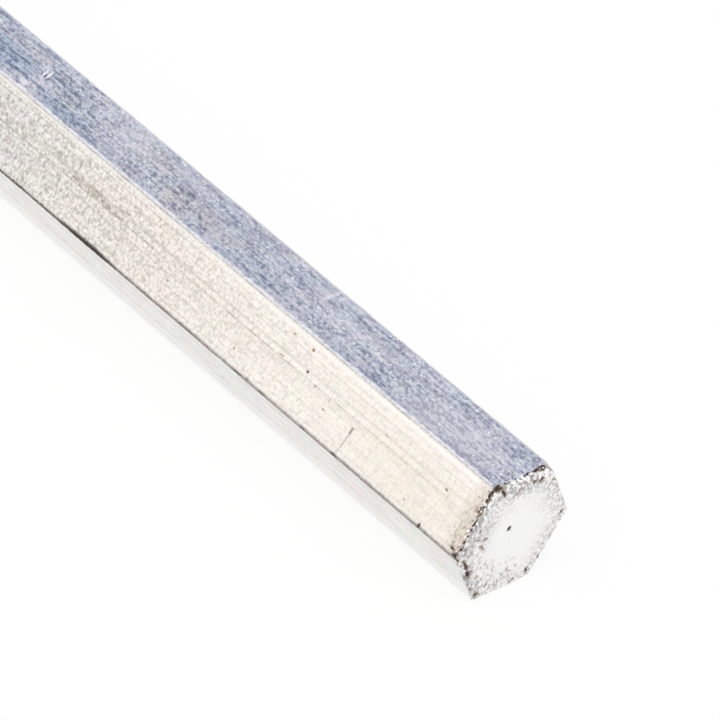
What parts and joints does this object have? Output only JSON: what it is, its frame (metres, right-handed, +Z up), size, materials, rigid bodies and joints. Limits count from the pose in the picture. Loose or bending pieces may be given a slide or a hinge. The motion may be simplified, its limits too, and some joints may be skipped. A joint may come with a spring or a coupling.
{
  "type": "hex bar stock",
  "caption": "Solid hexagonal aluminium bar stock with rounded long corners, a drawn finish and rough cut ends, for turning, sawing or clamping into fittings.",
  "frame": {"origin": "middle of the flat that the bar lies on", "axes": "+X along the bar towards the cut end that the picture shows, +Z up out of the upper flat, +Y across the bar"},
  "size_m": [0.3006, 0.0136, 0.012],
  "materials": {
    "drawn_aluminium": "drawn mill finish, streaked along the bar, with rough cut ends"
  },
  "bodies": {
    "root": {"hex_bar": "drawn_aluminium"}
  },
  "joints": []
}
